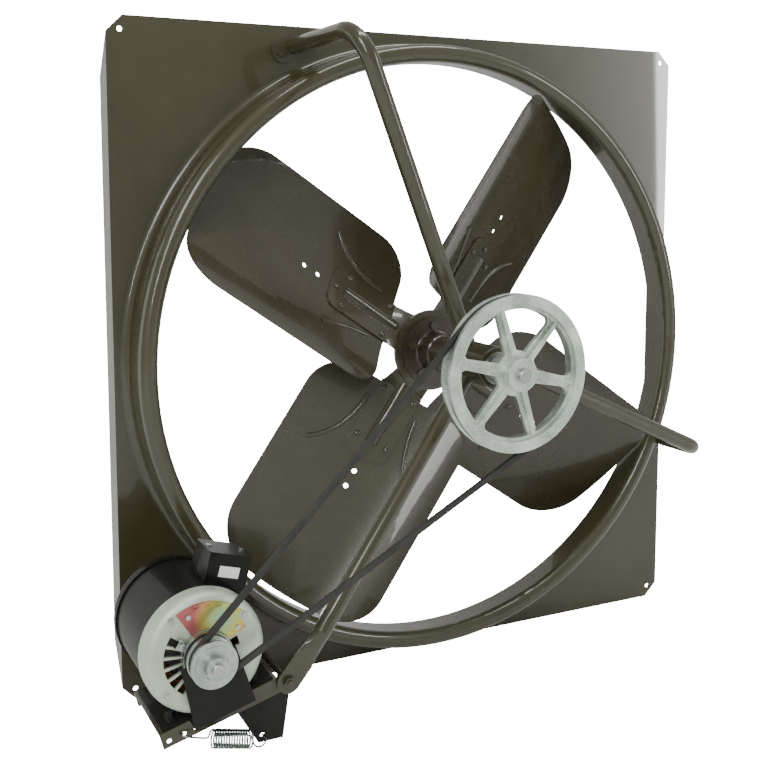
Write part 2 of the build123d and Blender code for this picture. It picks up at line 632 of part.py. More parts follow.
with BuildPart() as rotor_core:
    disc(motor_at(CORE_BACK), CORE_BORE - GAP, CORE_BACK - CORE_FRONT, MOTOR_SHAFT_R)
save(rotor_core, "rotor_core")

with BuildPart() as motor_shaft:
    disc(motor_at(MOTOR_SHAFT_BACK), MOTOR_SHAFT_R, MOTOR_SHAFT_BACK - MOTOR_SHAFT_FRONT)
    chamfer(motor_shaft.edges(), 0.8)
save(motor_shaft, "motor_shaft")


def end_bell(face, rim, boss_end, windows):
    """A dished aluminium cover; face is the depth of its flat front, rim that of its open edge."""
    out = 1 if face > rim else -1
    shoulder = face - out * 15
    inner_face = face - out * 4
    seat = rim + out * 10
    with BuildPart() as bell:
        with BuildSketch(MOTOR_HALF):
            with BuildLine():
                Polyline((SHELL_R, seat), (SHELL_R, rim), (BELL_R, rim), (BELL_R, shoulder))
                RadiusArc((BELL_R, shoulder), (68.0, face), -out * 15)
                Polyline((68.0, face), (BOSS_R, face), (BOSS_R, boss_end), (BORE_R, boss_end),
                         (BORE_R, inner_face - out * 2), (BOSS_R, inner_face), (67.0, inner_face))
                RadiusArc((67.0, inner_face), (SHELL_R - SHELL_WALL, seat), out * 12)
                Line((SHELL_R - SHELL_WALL, seat), (SHELL_R, seat))
            make_face()
        revolve(axis=MOTOR_AXIS)
        pegs(motor_at(face + 14) if out < 0 else motor_at(face), THROUGH_BOLTS, 5.4, 14)
        pegs(motor_at(face + 40), THROUGH_BOLTS, THROUGH_BOLT_R, 80, Mode.SUBTRACT)
        for outer, start, end in windows:
            with BuildSketch(motor_at(face + 10)):
                sector(33, outer, start, end)
            extrude(amount=20, mode=Mode.SUBTRACT)
    return bell


left_windows = [(57, 130 + 16 * index, 142 + 16 * index) for index in range(6)]
right_windows = [(46, -8, 9)]
front_end_bell = end_bell(BELL_FACE, SHELL_FRONT + 10, CRADLE_FRONT - 1, left_windows + right_windows)
save(front_end_bell, "front_end_bell")

rear_end_bell = end_bell(REAR_FACE, SHELL_BACK - 10, CRADLE_BACK + 1, left_windows)
save(rear_end_bell, "rear_end_bell")

with BuildPart() as motor_bearings:
    disc(motor_at(BELL_FACE + 6), BORE_R, 15.0, MOTOR_SHAFT_R + RUN_GAP)
    disc(motor_at(CRADLE_BACK + 1), BORE_R, 15.0, MOTOR_SHAFT_R + RUN_GAP)
save(motor_bearings, "motor_bearings")

with BuildPart() as through_bolts:
    pegs(motor_at(REAR_FACE + 4), THROUGH_BOLTS, THROUGH_BOLT_R, REAR_FACE + 4 - BELL_FACE)
    pegs(motor_at(BELL_FACE), THROUGH_BOLTS, 3.8, 2.0)
    hexagons(motor_at(REAR_FACE + 3.5), THROUGH_BOLTS, 4.8, 3.5)
save(through_bolts, "through_bolts")

COVER_THICK = 1.2
COVER_SCREWS = [polar(53.0, 20), polar(60.0, 98)]
with BuildPart() as terminal_cover:
    with BuildSketch(motor_at(BELL_FACE)) as cover_face:
        sector(RUBBER_R + 3, 72, 31.5, 108)
        sector(RUBBER_R + 3, 62, 13, 33)
        with Locations(*COVER_SCREWS):
            Circle(2.0, mode=Mode.SUBTRACT)
    extrude(amount=COVER_THICK)
    with BuildSketch(motor_at(BELL_FACE - COVER_THICK)):
        sector(64, 71.5, 38, 90)
        for start in (44, 57, 70, 83):
            with BuildSketch(mode=Mode.SUBTRACT):
                sector(66.5, 69.5, start, start + 6)
    extrude(amount=2.0)
save(terminal_cover, "terminal_cover")

with BuildPart() as terminal_cover_screws:
    pegs(motor_at(BELL_FACE), COVER_SCREWS, 2.0, COVER_THICK)
    pegs(motor_at(BELL_FACE - COVER_THICK), COVER_SCREWS, 3.4, 2.0)
save(terminal_cover_screws, "terminal_cover_screws")

# ---- motor cradle: rubber rings, clamps and the sheet base ---------------------------------------------
with BuildPart() as rubber_rings:
    disc(motor_at(CRADLE_FRONT + RUBBER_WIDE - 1), RUBBER_R, RUBBER_WIDE, BOSS_R)
    disc(motor_at(CRADLE_BACK + 1), RUBBER_R, RUBBER_WIDE - 1, BOSS_R)
save(rubber_rings, "rubber_rings")

BASE = Plane(origin=motor_at(0).from_local_coords((0, -BASE_DROP, 0)), x_dir=motor_at(0).x_dir,
             z_dir=motor_at(0).y_dir)
BASE_BOLTS = [(u, y) for u in (-62.0, 62.0) for y in (-210.0, -134.0)]
BASE_BOLT_R = 4.0
PLATE = 3.0
UPRIGHT_TOP, UPRIGHT_FOOT = 38.0, 43.0

with BuildPart() as motor_cradle:
    with BuildSketch(BASE):
        with Locations((0, (CRADLE_FRONT + CRADLE_BACK) / 2)):
            Rectangle(2 * UPRIGHT_FOOT, CRADLE_BACK - CRADLE_FRONT)
        with Locations((0, (SWING_FRONT + SWING_BACK) / 2)):
            Rectangle(160, SWING_BACK - SWING_FRONT - 8)
        with Locations(*BASE_BOLTS):
            Circle(BASE_BOLT_R, mode=Mode.SUBTRACT)
    extrude(amount=CRADLE_THICK)
    for depth in (CRADLE_FRONT + CRADLE_THICK, CRADLE_BACK):
        with BuildSketch(motor_at(depth)):
            with BuildLine():
                Polyline((-UPRIGHT_FOOT, -BASE_DROP), (UPRIGHT_FOOT, -BASE_DROP), (UPRIGHT_TOP, 0),
                         (-UPRIGHT_TOP, 0), close=True)
            make_face()
            Circle(RUBBER_R, mode=Mode.SUBTRACT)
        extrude(amount=CRADLE_THICK)
save(motor_cradle, "motor_cradle")

CLAMP_ANGLE = 133.0
with BuildPart() as ring_clamps:
    for depth in (CRADLE_FRONT + CRADLE_THICK + 2, CRADLE_BACK + 1):
        with BuildSketch(motor_at(depth)):
            sector(RUBBER_R, RUBBER_R + 2, 2, 178)
            with Locations(Location((*polar(RUBBER_R + 8, CLAMP_ANGLE), 0), (0, 0, CLAMP_ANGLE))):
                Rectangle(15, 13)
        extrude(amount=6.0)
save(ring_clamps, "ring_clamps")

clamp_u, clamp_v = polar(RUBBER_R + 9, CLAMP_ANGLE)
with BuildPart() as clamp_screws:
    hexagons(motor_at(CRADLE_FRONT + CRADLE_THICK - 4), [(clamp_u, clamp_v)], 5.2, 3.5)
    hexagons(motor_at(CRADLE_BACK - 5), [(clamp_u, clamp_v)], 5.2, 3.5)
save(clamp_screws, "clamp_screws")

# ---- swing plate and its hinge ---------------------------------------------------------------------------
SWING_HALF = 85.0
SWING_FALL = 22.0
EAR_R = 13.0
SPRING_HOLES = [(-75.0, -100.2), (-54.4, -100.2), (-37.0, -100.2)]
SPRING_HOLE_R = 3.5
ear = (HINGE_ALONG, -HINGE_DROP)

with BuildPart() as swing_plate:
    with BuildSketch(motor_at(SWING_BACK)):
        with Locations((0, -BASE_DROP - PLATE / 2)):
            Rectangle(2 * SWING_HALF, PLATE)
    extrude(amount=SWING_BACK - SWING_FRONT)
    for depth in (SWING_FRONT + PLATE, SWING_BACK):
        with BuildSketch(motor_at(depth)):
            with Locations((0, -BASE_DROP - SWING_FALL / 2)):
                Rectangle(2 * SWING_HALF, SWING_FALL)
            with BuildLine():
                Polyline((SWING_HALF, -BASE_DROP), (ear[0], ear[1] + EAR_R), (ear[0], ear[1] - EAR_R),
                         (SWING_HALF, -BASE_DROP - SWING_FALL), close=True)
            make_face()
            with Locations(ear):
                Circle(EAR_R)
                Circle(HINGE_BOLT_R + RUN_GAP, mode=Mode.SUBTRACT)
            with Locations(*SPRING_HOLES):
                Circle(SPRING_HOLE_R, mode=Mode.SUBTRACT)
        extrude(amount=PLATE)
    pegs(BASE.offset(-10), BASE_BOLTS, BASE_BOLT_R, 20, Mode.SUBTRACT)
save(swing_plate, "swing_plate")

with BuildPart() as base_bolts:
    hexagons(BASE.offset(CRADLE_THICK), BASE_BOLTS, 6.5, 5.0)
    pegs(BASE.offset(-PLATE - 7), BASE_BOLTS, BASE_BOLT_R, PLATE + 7 + CRADLE_THICK)
    hexagons(BASE.offset(-PLATE - 5), BASE_BOLTS, 6.5, 5.0)
save(base_bolts, "base_bolts")

BRACKET_SHEET = 4.0
GUSSET_FRONT = SWING_FRONT + PLATE + GAP
GUSSET_BACK = GUSSET_FRONT + BRACKET_SHEET
REAR_EAR_BACK = SWING_BACK - PLATE - 1.5
BRACKET_TOP, BRACKET_BOTTOM = HINGE.Z - 18.0, HINGE.Z - 82.0
GUSSET_TIP = (HINGE.X - 42.0, BRACKET_BOTTOM)
GUSSET_SHOULDER = (HINGE.X - 74.0, HINGE.Z - 28.0)
SPRING_RIGHT_HOLE = (HINGE.X - 36.0, HINGE.Z - 72.0)

with BuildPart() as hinge_bracket:
    for back in (GUSSET_BACK, REAR_EAR_BACK):
        with BuildSketch(at(back)):
            with BuildLine():
                Polyline((HINGE.X + 8, HINGE.Z + 10.5), (BRACKET_X + BRACKET_SHEET, BRACKET_BOTTOM),
                         GUSSET_TIP, GUSSET_SHOULDER, (HINGE.X - 8, HINGE.Z + 10.5), close=True)
            make_face()
            with Locations((HINGE.X, HINGE.Z)):
                Circle(EAR_R)
        extrude(amount=BRACKET_SHEET)
    with BuildSketch(at(0)):
        with Locations((BRACKET_X + BRACKET_SHEET / 2, (BRACKET_TOP + BRACKET_BOTTOM) / 2)):
            Rectangle(BRACKET_SHEET, BRACKET_TOP - BRACKET_BOTTOM)
    extrude(amount=-GUSSET_BACK)
    with BuildSketch(at(0)):
        with Locations(BRACKET_FOOT):
            Rectangle(40, 90)
        with Locations(*BRACKET_BOLTS):
            Circle(FOOT_BOLT_R, mode=Mode.SUBTRACT)
    extrude(amount=BRACKET_SHEET)
    with BuildSketch(motor_at(-20)):
        with Locations((SWING_HALF + 2 - 100, -BASE_DROP - PLATE - 2 + 60)):
            Rectangle(200, 120)
    extrude(amount=240, mode=Mode.SUBTRACT)
    pegs(at(-20), [(HINGE.X, HINGE.Z)], HINGE_BOLT_R, 240, Mode.SUBTRACT)
    pegs(at(GUSSET_BACK + 5), [SPRING_RIGHT_HOLE], SPRING_HOLE_R, 20, Mode.SUBTRACT)
save(hinge_bracket, "hinge_bracket")

with BuildPart() as bracket_bolts:
    hexagons(at(-BRACKET_SHEET), BRACKET_BOLTS, 7.0, 5.0)
    pegs(at(SHEET + 8), BRACKET_BOLTS, FOOT_BOLT_R, SHEET + 8 + BRACKET_SHEET)
    hexagons(at(SHEET + 6), BRACKET_BOLTS, 7.0, 6.0)
save(bracket_bolts, "bracket_bolts")

with BuildPart() as hinge_bolt:
    pegs(at(SWING_BACK + 12), [(HINGE.X, HINGE.Z)], HINGE_BOLT_R, SWING_BACK + 12 - TAB_FRONT + 9)
    hexagons(at(TAB_FRONT), [(HINGE.X, HINGE.Z)], 9.0, 6.5)
    hexagons(at(SWING_BACK + GAP + 7), [(HINGE.X, HINGE.Z)], 9.0, 7.0)
save(hinge_bolt, "hinge_bolt")

# ---- belt-tension spring --------------------------------------------------------------------------------
SPRING_R, SPRING_WIRE = 13.0, 1.4
SPRING_Y = SWING_FRONT - SPRING_R - 1.5
spring_start = Vector(HINGE.X - 113, SPRING_Y, HINGE.Z - 51)
spring_end = Vector(HINGE.X - 59, SPRING_Y, HINGE.Z - 64)
spring_dir = (spring_end - spring_start).normalized()

with BuildPart() as tension_spring:
    disc(Plane(origin=spring_start, z_dir=spring_dir), SPRING_R, (spring_end - spring_start).length,
         SPRING_R - 2 * SPRING_WIRE)
save(tension_spring, "tension_spring")

# ---- motor pulley ---------------------------------------------------------------------------------------
PULLEY_HALF = 11.0
PULLEY_HUB_FRONT = -307.0
with BuildPart() as motor_pulley:
    with BuildSketch(MOTOR_HALF):
        grooved_rim(PULLEY_R, MOTOR_SHAFT_R, PULLEY_HALF, BELT_Y)
    revolve(axis=MOTOR_AXIS)
    disc(motor_at(BELT_Y), 14.5, BELT_Y - PULLEY_HUB_FRONT, MOTOR_SHAFT_R)
    disc(motor_at(BELT_Y - PULLEY_HALF + 3), 25.0, 4.0, 18.0)
save(motor_pulley, "motor_pulley")

# ---- conduit box ------------------------------------------------------------------------------------------
BOX_X, BOX_Z = -408.0, -256.0
BOX_TILT = -15.4
BOX_FRONT, BOX_BACK = -205.0, -142.0
BOX_HALF_WIDE, BOX_HALF_HIGH = 30.0, 25.0
BOX_WALL = 2.0
KNOCKOUT_R = 11.0
box_side = Vector(*[polar(1, BOX_TILT)[0], 0, polar(1, BOX_TILT)[1]])
box_up = Vector(*[-polar(1, BOX_TILT)[1], 0, polar(1, BOX_TILT)[0]])
box_back = Plane(origin=(BOX_X, BOX_BACK, BOX_Z), x_dir=box_side, z_dir=(0, -1, 0))
box_deep = BOX_BACK - BOX_FRONT
box_left = Plane(origin=Vector(BOX_X, (BOX_FRONT + BOX_BACK) / 2, BOX_Z) - box_side * BOX_HALF_WIDE,
                 x_dir=(0, 1, 0), z_dir=box_side)
box_top = Plane(origin=Vector(BOX_X, (BOX_FRONT + BOX_BACK) / 2, BOX_Z) + box_up * BOX_HALF_HIGH,
                x_dir=box_side, z_dir=box_up)
COVER_TABS = [(-BOX_HALF_WIDE + 6, 0.0), (BOX_HALF_WIDE - 6, 0.0)]

with BuildPart() as conduit_box:
    with BuildSketch(box_back):
        Rectangle(2 * BOX_HALF_WIDE, 2 * BOX_HALF_HIGH)
    extrude(amount=box_deep)
    with BuildSketch(box_back.offset(BOX_WALL)):
        with Locations((0, BOX_WALL)):
            Rectangle(2 * (BOX_HALF_WIDE - BOX_WALL), 2 * BOX_HALF_HIGH)
    extrude(amount=box_deep - 2 * BOX_WALL, mode=Mode.SUBTRACT)
    pegs(box_left.offset(-2), [(0, 0)], KNOCKOUT_R, 8, Mode.SUBTRACT)
    pegs(motor_at(-20), [(0, 0)], SHELL_R, 240, Mode.SUBTRACT)
save(conduit_box, "conduit_box")

with BuildPart() as conduit_box_cover:
    with BuildSketch(box_top):
        RectangleRounded(2 * BOX_HALF_WIDE + 2, box_deep + 2, 4)
        with Locations(*COVER_TABS):
            Circle(2.0, mode=Mode.SUBTRACT)
    extrude(amount=1.6)
save(conduit_box_cover, "conduit_box_cover")

with BuildPart() as conduit_box_screws:
    pegs(box_top, COVER_TABS, 2.0, 1.6)
    pegs(box_top.offset(1.6), COVER_TABS, 4.0, 2.2)
save(conduit_box_screws, "conduit_box_screws")

with BuildPart() as knockout_plug:
    pegs(box_left.offset(0.5), [(0, 0)], KNOCKOUT_R, 1.5)
save(knockout_plug, "knockout_plug")

with BuildPart() as box_label:
    with BuildSketch(box_back.offset(box_deep)):
        with Locations((2.0, 2.0)):
            Rectangle(29, 15)
    extrude(amount=0.4)
save(box_label, "box_label")
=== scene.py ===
# %% [markdown]
# # A belt-driven wall exhaust fan
# The CAD frame gives every part its size and place. This script gives the parts their finish, remakes the
# rivet heads, the tension spring and the V-belt, which CAD leaves plain or stiff, and sets up a pale studio.
#
# ## Loading the frame
# Every CAD node arrives as one object at the origin, in metres, with +Z up and -Y towards the drive side.
# The box of the whole CAD model is kept at once, and its lowest point sets the floor.

# %% Load the frame
import bpy
import bmesh
import json
from math import cos, radians, sin, tau
from mathutils import Matrix, Vector


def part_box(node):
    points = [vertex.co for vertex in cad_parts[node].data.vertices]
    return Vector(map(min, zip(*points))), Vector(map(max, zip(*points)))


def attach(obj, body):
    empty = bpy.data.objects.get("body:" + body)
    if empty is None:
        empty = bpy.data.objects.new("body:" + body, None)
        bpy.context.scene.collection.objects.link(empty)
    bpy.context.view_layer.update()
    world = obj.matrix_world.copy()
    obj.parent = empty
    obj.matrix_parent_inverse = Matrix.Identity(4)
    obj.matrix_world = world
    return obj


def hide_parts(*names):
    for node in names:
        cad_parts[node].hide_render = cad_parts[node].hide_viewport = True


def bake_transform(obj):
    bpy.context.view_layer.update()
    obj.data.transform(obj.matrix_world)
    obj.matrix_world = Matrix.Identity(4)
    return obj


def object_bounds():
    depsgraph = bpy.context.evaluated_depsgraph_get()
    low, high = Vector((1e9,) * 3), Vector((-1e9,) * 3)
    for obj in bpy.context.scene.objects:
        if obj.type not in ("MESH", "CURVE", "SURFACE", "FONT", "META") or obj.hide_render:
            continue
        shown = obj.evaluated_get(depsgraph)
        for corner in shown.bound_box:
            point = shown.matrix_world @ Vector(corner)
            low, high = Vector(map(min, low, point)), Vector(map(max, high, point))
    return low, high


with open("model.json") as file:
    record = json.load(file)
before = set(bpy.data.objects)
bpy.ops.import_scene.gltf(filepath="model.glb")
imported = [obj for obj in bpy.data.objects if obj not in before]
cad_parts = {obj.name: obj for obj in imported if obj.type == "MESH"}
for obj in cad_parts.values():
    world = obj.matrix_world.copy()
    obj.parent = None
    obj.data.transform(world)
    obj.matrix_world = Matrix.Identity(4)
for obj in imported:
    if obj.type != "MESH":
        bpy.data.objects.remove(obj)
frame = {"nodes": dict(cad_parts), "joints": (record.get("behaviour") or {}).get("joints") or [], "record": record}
cad_low, cad_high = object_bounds()
nodes = frame["nodes"]
joints = {joint["name"]: joint for joint in frame["joints"]}
print("nodes", len(nodes), "box", tuple(cad_low), tuple(cad_high))

# %% [markdown]
# ## Camera
# The fan is seen from its left, a little above the motor, with a medium lens. The view is shifted down as well as
# tilted, which keeps the panel's sides nearly upright.

# %% Camera
camera_data = bpy.data.cameras.new("camera")
camera_data.sensor_width = 36.0
camera_data.lens = 51.45
camera_data.shift_y = -0.1044
camera = bpy.data.objects.new("camera", camera_data)
camera.location = (-0.8596, -1.5948, 0.2627)
camera.rotation_euler = (radians(83.96), 0.0, radians(-26.43))
bpy.context.scene.collection.objects.link(camera)
bpy.context.scene.camera = camera

# %% [markdown]
# ## Studio
# A white sweep is a pale floor that curves up into a wall behind the fan. One large soft light stands at the
# front left. Narrow strips at the left, at the right and overhead draw the thin bright lines on the tubes, and a
# weak greenish panel stands behind the left edge. The world is brighter to the camera than to the fan, so that
# the background is white and the dark enamel isn't washed out.

# %% Studio sweep
FLOOR = cad_low.z - 0.001
SWEEP_HALF_WIDTH, SWEEP_FRONT, SWEEP_WALL, SWEEP_BEND, SWEEP_HIGH = 7.0, -6.0, 3.2, 1.2, 5.0


def link(name, data):
    piece = bpy.data.objects.new(name, data)
    bpy.context.scene.collection.objects.link(piece)
    return piece


def mesh_piece(name, build, smooth=True):
    """A new object whose mesh is made by a function that fills a bmesh."""
    shape = bmesh.new()
    build(shape)
    bmesh.ops.recalc_face_normals(shape, faces=shape.faces)
    data = bpy.data.meshes.new(name)
    shape.to_mesh(data)
    shape.free()
    for face in data.polygons:
        face.use_smooth = smooth
    return link(name, data)


def sweep_profile(shape):
    """The sweep's section runs from the front of the floor to the top of the wall."""
    start = SWEEP_WALL - SWEEP_BEND
    section = [(SWEEP_FRONT, FLOOR), (start, FLOOR)]
    section += [(start + SWEEP_BEND * sin(a), FLOOR + SWEEP_BEND - SWEEP_BEND * cos(a))
                for a in (radians(7.5 * step) for step in range(1, 13))]
    section.append((SWEEP_WALL, FLOOR + SWEEP_HIGH))
    rows = [[shape.verts.new((x, y, z)) for y, z in section] for x in (-SWEEP_HALF_WIDTH, SWEEP_HALF_WIDTH)]
    for i in range(len(section) - 1):
        shape.faces.new((rows[0][i], rows[0][i + 1], rows[1][i + 1], rows[1][i]))


studio = mesh_piece("studio_sweep", sweep_profile)


def area_light(name, place, aim, size, power, colour=(1.0, 1.0, 1.0)):
    data = bpy.data.lights.new(name, "AREA")
    data.shape = "RECTANGLE"
    data.size, data.size_y = size
    data.energy = power
    data.color = colour
    lamp = link(name, data)
    lamp.location = place
    lamp.rotation_euler = (Vector(aim) - Vector(place)).to_track_quat("-Z", "Y").to_euler()
    return lamp


area_light("key_light", (-2.6, -2.4, 2.3), (0.0, 0.0, 0.0), (1.1, 1.3), 42.0)
area_light("key_strip", (-2.2, -2.6, 1.2), (0.0, 0.0, 0.0), (0.10, 1.8), 30.0)
area_light("fill_strip", (2.4, -2.2, 0.8), (0.0, 0.0, -0.1), (0.12, 2.0), 30.0)
area_light("top_strip", (0.3, -0.6, 2.6), (0.0, 0.0, 0.0), (2.4, 0.2), 34.0)
area_light("side_panel", (-2.4, 0.9, 0.2), (-0.5, 0.0, 0.0), (0.8, 1.8), 7.0, (0.84, 1.0, 0.80))
CAMERA_WORLD, FAN_WORLD = 20.0, 0.62
world = bpy.data.worlds.new("world")
world.use_nodes = True
background = world.node_tree.nodes["Background"]
background.inputs["Color"].default_value = (0.97, 0.98, 0.96, 1.0)
seen_world = world.node_tree.nodes.new("ShaderNodeLightPath")
brightness = world.node_tree.nodes.new("ShaderNodeMath")
brightness.operation = "MULTIPLY_ADD"
world.node_tree.links.new(seen_world.outputs["Is Camera Ray"], brightness.inputs[0])
brightness.inputs[1].default_value = CAMERA_WORLD
brightness.inputs[2].default_value = FAN_WORLD
world.node_tree.links.new(brightness.outputs[0], background.inputs["Strength"])
bpy.context.scene.world = world

# %% [markdown]
# ## Shader arithmetic
# A finish is a sum of a few patterns. This small class wraps one socket of a node tree, so that patterns can be
# added and multiplied as numbers are. One method, make, adds any other kind of node.

# %% Shader arithmetic


class Pattern:
    def __init__(self, tree, socket):
        self.tree, self.socket = tree, socket

    def make(self, kind, inputs=None, output=0, **settings):
        node = self.tree.nodes.new(kind)
        for name, value in settings.items():
            setattr(node, name, value)
        for key, value in (inputs or {}).items():
            if isinstance(value, Pattern):
                self.tree.links.new(value.socket, node.inputs[key])
            else:
                node.inputs[key].default_value = value
        return Pattern(self.tree, node.outputs[output])

    def math(self, operation, first, second=0.0, third=0.0):
        return self.make("ShaderNodeMath", {0: first, 1: second, 2: third}, operation=operation)

    def __add__(self, other):
        return self.math("ADD", self, other)

    def __sub__(self, other):
        return self.math("SUBTRACT", self, other)

    def __rsub__(self, other):
        return self.math("SUBTRACT", other, self)

    def __mul__(self, other):
        return self.math("MULTIPLY", self, other)

    def __truediv__(self, other):
        return self.math("DIVIDE", self, other)

    def __pow__(self, other):
        return self.math("POWER", self, other)

    __radd__ = __add__
    __rmul__ = __mul__

    def clamp(self, low, high):
        """Rescales low..high to 0..1 and cuts off what lies outside."""
        return self.make("ShaderNodeMapRange", {"Value": self, "From Min": low, "From Max": high})

    def noise(self, scale, detail=3.0, rough=0.5):
        return self.make("ShaderNodeTexNoise", {"Vector": self, "Scale": scale, "Detail": detail,
                                                "Roughness": rough})

    def blend(self, low, high):
        """A colour between two colours."""
        mix = self.tree.nodes.new("ShaderNodeMix")
        mix.data_type = "RGBA"
        self.tree.links.new(self.socket, mix.inputs["Factor"])
        for socket, colour in ((mix.inputs[6], low), (mix.inputs[7], high)):
            if isinstance(colour, Pattern):
                self.tree.links.new(colour.socket, socket)
            else:
                socket.default_value = (*colour, 1.0)
        return Pattern(self.tree, mix.outputs[2])


class Finish:
    """One material: set() feeds the shader, place is the surface's own coordinates in metres."""

    def __init__(self, name, **constants):
        self.material = bpy.data.materials.new(name)
        self.material.use_nodes = True
        tree = self.material.node_tree
        self.shader = tree.nodes["Principled BSDF"]
        coordinates = tree.nodes.new("ShaderNodeTexCoord")
        self.place = Pattern(tree, coordinates.outputs["Object"])
        self.set(**constants)

    def set(self, **inputs):
        for key, value in inputs.items():
            socket = self.shader.inputs[key.replace("_", " ").title().replace("Ior", "IOR")]
            if isinstance(value, Pattern):
                self.place.tree.links.new(value.socket, socket)
            elif isinstance(value, tuple):
                socket.default_value = (*value, 1.0)
            else:
                socket.default_value = value

    def axis(self, name):
        split = self.place.make("ShaderNodeSeparateXYZ", {0: self.place}, output="XYZ".index(name))
        return split

    def bump(self, height, distance, strength=1.0):
        self.set(normal=self.place.make("ShaderNodeBump", {"Height": height, "Distance": distance,
                                                           "Strength": strength}))


# %% [markdown]
# ## Enamel
# The panel, the ring and the struts are steel under a thick dark baked enamel. Up close it has a faint orange
# peel, and over a hand's width its colour drifts between olive and brown. A clear coat gives the long highlights.

# %% Enamel


def enamel(name, low, high, gloss):
    coat = Finish(name, specular_ior_level=0.4, coat_roughness=0.035)
    drift = coat.place.noise(2.3, 4.0, 0.6)
    cloud = coat.place.noise(14.0, 5.0, 0.6)
    coat.set(base_color=(drift * 0.7 + cloud * 0.3).clamp(0.35, 0.65).blend(low, high))
    coat.set(roughness=gloss + cloud * 0.06)
    coat.set(coat_weight=0.40 + drift * 0.3)
    peel = coat.place.noise(240.0, 2.0, 0.5)
    coat.bump(peel, 0.0002, 0.04)
    return coat.material


panel_enamel = enamel("panel_enamel", (0.034, 0.029, 0.013), (0.050, 0.047, 0.022), 0.26)
blade_enamel = enamel("blade_enamel", (0.032, 0.026, 0.013), (0.048, 0.043, 0.021), 0.24)
bolt_enamel = enamel("bolt_enamel", (0.030, 0.026, 0.014), (0.050, 0.045, 0.026), 0.14)

# %% [markdown]
# ## Black paint
# The motor's shell, its cradle and the conduit box are black. Thin paint over rolled sheet shows a fine grain and
# a few dull, dusty patches.

# %% Black paint


def black_paint(name, tone, gloss):
    paint = Finish(name, specular_ior_level=0.14, coat_weight=0.18, coat_roughness=0.05)
    dust = paint.place.noise(9.0, 6.0, 0.65)
    grain = paint.place.noise(260.0, 3.0, 0.6)
    dark = (tone, tone, tone * 0.8)
    dusty = (tone * 1.9, tone * 1.9, tone * 1.6)
    paint.set(base_color=dust.clamp(0.4, 0.7).blend(dark, dusty))
    paint.set(roughness=gloss + dust * 0.15 + grain * 0.05)
    paint.bump(grain, 0.0002, 0.15)
    return paint.material


motor_black = black_paint("motor_black", 0.005, 0.36)
bracket_black = black_paint("bracket_black", 0.008, 0.34)
box_black = black_paint("box_black", 0.004, 0.24)

# %% [markdown]
# ## Bare metals
# Castings keep the grain of their mould and turned faces have fine rings about their axis. Both are one recipe:
# a mottled metal, with its bump from noise for a casting, or from rings round a given axis for a turned face.

# %% Bare metals
MOTOR_AXIS = Vector(joints["motor_spin"]["pos_m"])
TOOL_MARKS = 5200.0


def radius_from(finish, centre):
    across = finish.axis("X") - centre.x
    upward = finish.axis("Z") - centre.z
    return (across * across + upward * upward) ** 0.5


def metal(name, low, high, rough, grain, depth, metallic=1.0, centre=None):
    bare = Finish(name, metallic=metallic)
    mottle = bare.place.noise(24.0, 6.0, 0.6)
    fine = bare.place.noise(grain, 4.0, 0.6)
    bare.set(base_color=(mottle * 0.6 + fine * 0.4).clamp(0.35, 0.65).blend(low, high))
    bare.set(roughness=rough + mottle * 0.12 + fine * 0.1)
    height = fine
    if centre is not None:
        rings = bare.place.math("SINE", radius_from(bare, centre) * TOOL_MARKS)
        height = fine * 0.5 + rings * 0.25
    bare.bump(height, depth, 0.35)
    return bare.material


cast_aluminium = metal("cast_aluminium", (0.30, 0.38, 0.31), (0.74, 0.81, 0.72), 0.20, 320.0, 0.0012, 0.75)
turned_aluminium = metal(
    "turned_aluminium", (0.32, 0.38, 0.34), (0.54, 0.60, 0.55), 0.22, 240.0, 0.0004, 0.95, MOTOR_AXIS)
bell_aluminium = metal("bell_aluminium", (0.42, 0.49, 0.38), (0.58, 0.65, 0.52), 0.36, 420.0, 0.0009, 0.5)
ground_steel = metal("ground_steel", (0.38, 0.39, 0.38), (0.58, 0.59, 0.57), 0.22, 500.0, 0.0003)
spring_wire = metal("spring_wire", (0.12, 0.15, 0.13), (0.30, 0.35, 0.31), 0.16, 240.0, 0.0002)
zinc_plate = metal("zinc_plate", (0.30, 0.34, 0.31), (0.56, 0.61, 0.57), 0.14, 180.0, 0.0003)
bronze = metal("bronze", (0.28, 0.20, 0.09), (0.42, 0.31, 0.15), 0.35, 400.0, 0.0003)
hub_iron = enamel("hub_iron", (0.022, 0.014, 0.009), (0.040, 0.028, 0.018), 0.22)

# %% [markdown]
# ## Motor insides and trim
# Through the vents show copper end turns and the edges of the stator's laminations. The terminal cover is
# yellow-chromate steel, whose thin film shifts from pale green at the middle to yellow and pink at the rim.

# %% Motor insides and trim


SHEET, TURN = 0.0013, 0.0012
COVER_OFFSET = Vector((0.022, 0.0, 0.046))


def laminations():
    stack = Finish("laminations", metallic=0.7)
    depth = stack.axis("Y")
    sheets = stack.place.math("SINE", depth * (tau / SHEET))
    rust = stack.place.noise(60.0, 5.0, 0.6)
    edges = (rust * 0.6 + sheets * 0.2 + 0.2).clamp(0.2, 0.8)
    stack.set(base_color=edges.blend((0.10, 0.09, 0.08), (0.42, 0.41, 0.38)))
    stack.set(roughness=0.45 + rust * 0.2)
    stack.bump(sheets, 0.0003, 0.4)
    return stack.material


def winding():
    wire = Finish("copper_winding", metallic=0.6, coat_weight=0.5)
    turns = wire.place.math("SINE", radius_from(wire, MOTOR_AXIS) * (tau / TURN))
    lacing = wire.place.noise(120.0, 3.0, 0.6)
    strands = (turns * 0.25 + lacing).clamp(0.2, 0.8)
    wire.set(base_color=strands.blend((0.16, 0.055, 0.02), (0.60, 0.30, 0.14)))
    wire.set(roughness=0.3 + lacing * 0.2)
    wire.bump(turns + lacing, 0.0006, 0.6)
    return wire.material


